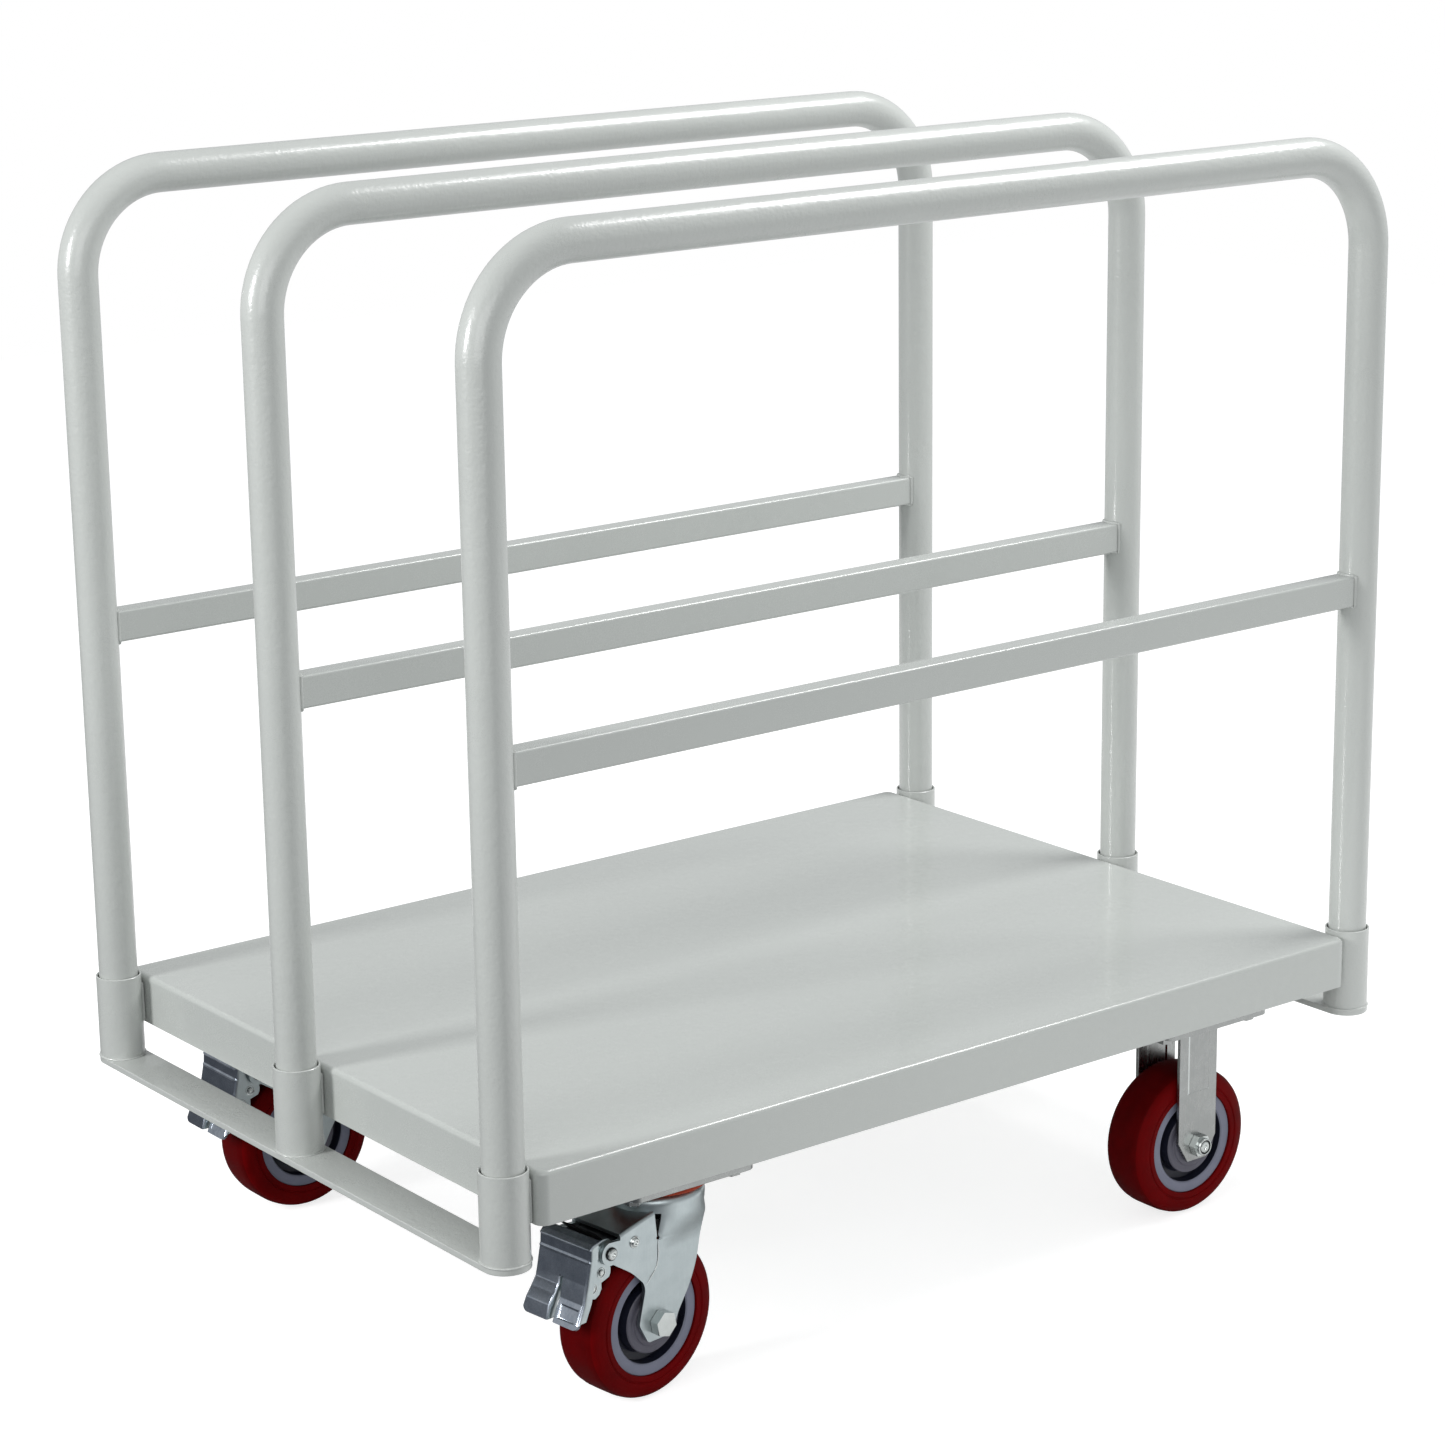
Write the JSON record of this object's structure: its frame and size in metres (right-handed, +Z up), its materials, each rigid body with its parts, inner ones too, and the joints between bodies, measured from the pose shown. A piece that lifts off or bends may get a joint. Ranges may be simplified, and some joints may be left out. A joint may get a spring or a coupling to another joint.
{
  "type": "panel cart",
  "caption": "Steel panel cart: a flat deck on swivel and rigid casters, with lift-out tubular hoops standing in sockets to hold sheets upright.",
  "frame": {"origin": "on the floor under the middle of the cart's overall length and width", "axes": "+X along the deck to the rigid casters, +Y to the cart's left side, +Z up"},
  "size_m": [0.9106, 0.604, 0.8993],
  "materials": {
    "paint": "light grey powder coat, fine orange-peel gloss",
    "zinc": "bright zinc plate",
    "dark_zinc": "dark blue-grey zinc plate",
    "steel": "plain turned steel",
    "red_tyre": "deep red polyurethane, satin",
    "grey_plastic": "blue-grey moulded nylon",
    "seal": "orange-red moulded seal",
    "brake_rubber": "black brake block"
  },
  "bodies": {
    "cart": {"deck_pan": "paint", "centre_stiffener": "paint", "cross_channel_swivel_end": "paint", "tie_bar_swivel_end": "paint", "socket_swivel_end_left": "paint", "socket_swivel_end_middle": "paint", "socket_swivel_end_right": "paint", "cross_channel_rigid_end": "paint", "tie_bar_rigid_end": "paint", "socket_rigid_end_left": "paint", "socket_rigid_end_middle": "paint", "socket_rigid_end_right": "paint", "swivel_plate_left": "zinc", "seal_ring_left": "seal", "ball_race_left": "steel", "kingpin_left": "steel", "rigid_plate_left": "zinc", "rigid_yoke_left": "zinc", "axle_bolt_rigid_left": "zinc", "axle_nut_rigid_left": "zinc", "bearing_sleeve_rigid_left": "steel", "swivel_plate_right": "zinc", "seal_ring_right": "seal", "ball_race_right": "steel", "kingpin_right": "steel", "rigid_plate_right": "zinc", "rigid_yoke_right": "zinc", "axle_bolt_rigid_right": "zinc", "axle_nut_rigid_right": "zinc", "bearing_sleeve_rigid_right": "steel"},
    "hoop_left": {"hoop_tube_left": "paint", "hoop_rail_left": "paint"},
    "hoop_middle": {"hoop_tube_middle": "paint", "hoop_rail_middle": "paint"},
    "hoop_right": {"hoop_tube_right": "paint", "hoop_rail_right": "paint"},
    "swivel_left": {"swivel_fork_left": "zinc", "pedal_pin_left": "zinc", "axle_bolt_swivel_left": "zinc", "axle_nut_swivel_left": "zinc", "bearing_sleeve_swivel_left": "steel"},
    "brake_left": {"brake_pedal_left": "dark_zinc", "brake_link_left": "zinc", "brake_shoe_left": "brake_rubber"},
    "swivel_wheel_left": {"wheel_core_swivel_left": "grey_plastic", "tyre_swivel_left": "red_tyre"},
    "rigid_wheel_left": {"wheel_core_rigid_left": "grey_plastic", "tyre_rigid_left": "red_tyre"},
    "swivel_right": {"swivel_fork_right": "zinc", "pedal_pin_right": "zinc", "axle_bolt_swivel_right": "zinc", "axle_nut_swivel_right": "zinc", "bearing_sleeve_swivel_right": "steel"},
    "brake_right": {"brake_pedal_right": "dark_zinc", "brake_link_right": "zinc", "brake_shoe_right": "brake_rubber"},
    "swivel_wheel_right": {"wheel_core_swivel_right": "grey_plastic", "tyre_swivel_right": "red_tyre"},
    "rigid_wheel_right": {"wheel_core_rigid_right": "grey_plastic", "tyre_rigid_right": "red_tyre"}
  },
  "joints": [
    {"name": "hoop_lift_left", "type": "slide", "parent": "cart", "child": "hoop_left", "axis": [0, 0, 1], "range_m": [0, 0.1]},
    {"name": "hoop_lift_middle", "type": "slide", "parent": "cart", "child": "hoop_middle", "axis": [0, 0, 1], "range_m": [0, 0.1]},
    {"name": "hoop_lift_right", "type": "slide", "parent": "cart", "child": "hoop_right", "axis": [0, 0, 1], "range_m": [0, 0.1]},
    {"name": "caster_turn_left", "type": "hinge", "parent": "cart", "child": "swivel_left", "pos_m": [-0.273, 0.245, 0.15], "axis": [0, 0, 1], "continuous": true},
    {"name": "wheel_spin_swivel_left", "type": "hinge", "parent": "swivel_left", "child": "swivel_wheel_left", "pos_m": [-0.297, 0.245, 0.0635], "axis": [0, 1, 0], "continuous": true},
    {"name": "brake_press_left", "type": "hinge", "parent": "swivel_left", "child": "brake_left", "pos_m": [-0.34452, 0.245, 0.13264], "axis": [0, -1, 0], "range_deg": [0, 8]},
    {"name": "wheel_spin_rigid_left", "type": "hinge", "parent": "cart", "child": "rigid_wheel_left", "pos_m": [0.273, 0.245, 0.0635], "axis": [0, 1, 0], "continuous": true},
    {"name": "caster_turn_right", "type": "hinge", "parent": "cart", "child": "swivel_right", "pos_m": [-0.273, -0.245, 0.15], "axis": [0, 0, 1], "continuous": true},
    {"name": "wheel_spin_swivel_right", "type": "hinge", "parent": "swivel_right", "child": "swivel_wheel_right", "pos_m": [-0.29682, -0.24793, 0.0635], "axis": [-0.1219, 0.9925, 0], "continuous": true},
    {"name": "brake_press_right", "type": "hinge", "parent": "swivel_right", "child": "brake_right", "pos_m": [-0.34399, -0.25372, 0.13264], "axis": [0.1219, -0.9925, 0], "range_deg": [0, 8]},
    {"name": "wheel_spin_rigid_right", "type": "hinge", "parent": "cart", "child": "rigid_wheel_right", "pos_m": [0.273, -0.245, 0.0635], "axis": [0, 1, 0], "continuous": true}
  ]
}
